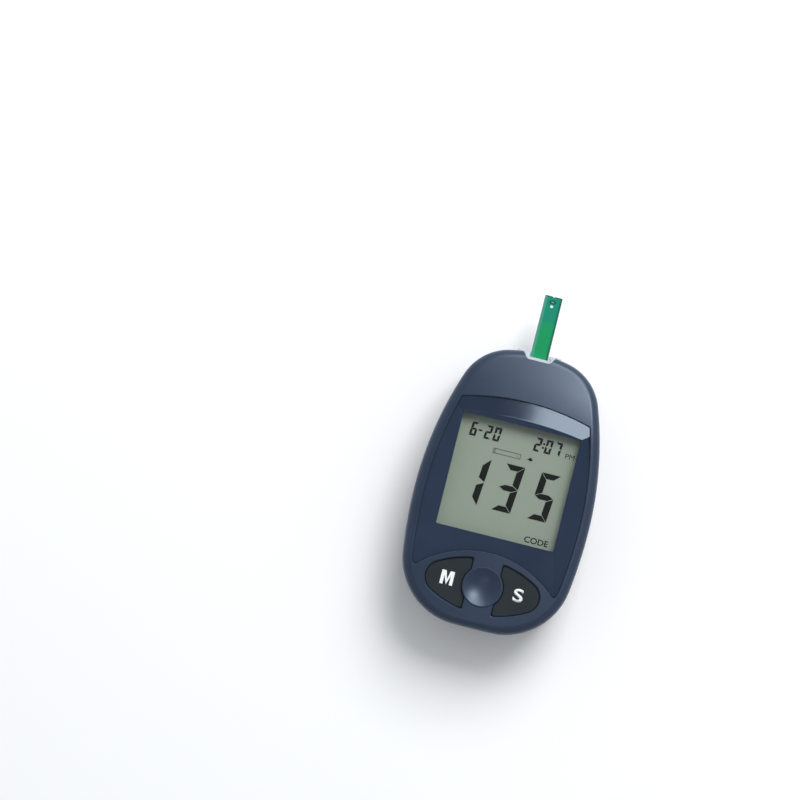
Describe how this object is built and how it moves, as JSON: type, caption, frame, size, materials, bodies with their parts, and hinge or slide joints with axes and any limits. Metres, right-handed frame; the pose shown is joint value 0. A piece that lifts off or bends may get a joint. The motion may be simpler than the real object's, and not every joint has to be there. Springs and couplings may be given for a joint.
{
  "type": "blood glucose meter",
  "caption": "Handheld blood glucose meter with a display, two rubber keys round a thumb dish and a test strip in its port.",
  "frame": {"origin": "on the flat back face, in the middle of the body's length and width", "axes": "+Z out of the face, +Y towards the test strip, +X to the right seen from the face"},
  "size_m": [0.054, 0.1028, 0.0207],
  "materials": {
    "case_front": "fine matt moulded navy plastic",
    "case_back": "fine matt moulded navy plastic",
    "panel": "satin navy plastic",
    "lens": "clear moulded window",
    "lcd_glass": "grey-green reflective display",
    "elastomer": "striped elastomer connector",
    "inner_plastic": "plain white moulding",
    "board": "green solder mask",
    "chip_black": "black moulded plastic",
    "steel": "bright nickel plate",
    "ceramic_parts": "ceramic chip parts",
    "key_rubber": "near-black silicone rubber",
    "carbon": "carbon filled",
    "mat_silicone": "grey silicone",
    "spring_metal": "gilt spring metal",
    "strip_white": "white polyester film",
    "strip_green": "green printed film",
    "holder_clear": "pale blue translucent plastic",
    "chip_grey": "dark grey moulded plastic"
  },
  "bodies": {
    "case": {"front_case": "case_front", "back_case": "case_back", "display_frame": "panel", "display_lens": "lens", "lcd_panel": "lcd_glass", "zebra_strip": "elastomer", "lcd_holder": "inner_plastic", "main_board": "board", "microcontroller": "chip_black", "clock_crystal": "steel", "board_components": "ceramic_parts", "case_screws": "steel", "board_screws": "steel", "key_mat": "mat_silicone", "coin_cell": "steel", "battery_contact_positive": "spring_metal", "battery_contact_negative": "spring_metal", "strip_connector": "chip_black", "strip_contacts": "spring_metal", "code_socket": "chip_black", "code_contacts": "spring_metal", "data_jack": "chip_black"},
    "m_key": {"m_button": "key_rubber", "m_key_pill": "carbon"},
    "s_key": {"s_button": "key_rubber", "s_key_pill": "carbon"},
    "battery_door": {"battery_cover": "case_back"},
    "port_holder": {"strip_holder": "holder_clear"},
    "test_strip": {"strip_base": "strip_white", "strip_tracks": "carbon", "strip_cover": "strip_green"},
    "code_key": {"code_chip": "chip_grey"}
  },
  "joints": [
    {"name": "m_key_press", "type": "slide", "parent": "case", "child": "m_key", "axis": [0, 0, -1], "range_m": [0, 0.0007], "stiffness_N_per_m": 1500},
    {"name": "s_key_press", "type": "slide", "parent": "case", "child": "s_key", "axis": [0, 0, -1], "range_m": [0, 0.0007], "stiffness_N_per_m": 1500},
    {"name": "battery_door_lift", "type": "slide", "parent": "case", "child": "battery_door", "axis": [0, 0, -1], "range_m": [0, 0.015]},
    {"name": "port_holder_pull", "type": "slide", "parent": "case", "child": "port_holder", "axis": [0, 1, 0], "range_m": [0, 0.012]},
    {"name": "test_strip_pull", "type": "slide", "parent": "case", "child": "test_strip", "axis": [0, 1, 0], "range_m": [0, 0.045]},
    {"name": "code_key_pull", "type": "slide", "parent": "case", "child": "code_key", "axis": [-1, 0, 0], "range_m": [0, 0.014]}
  ]
}
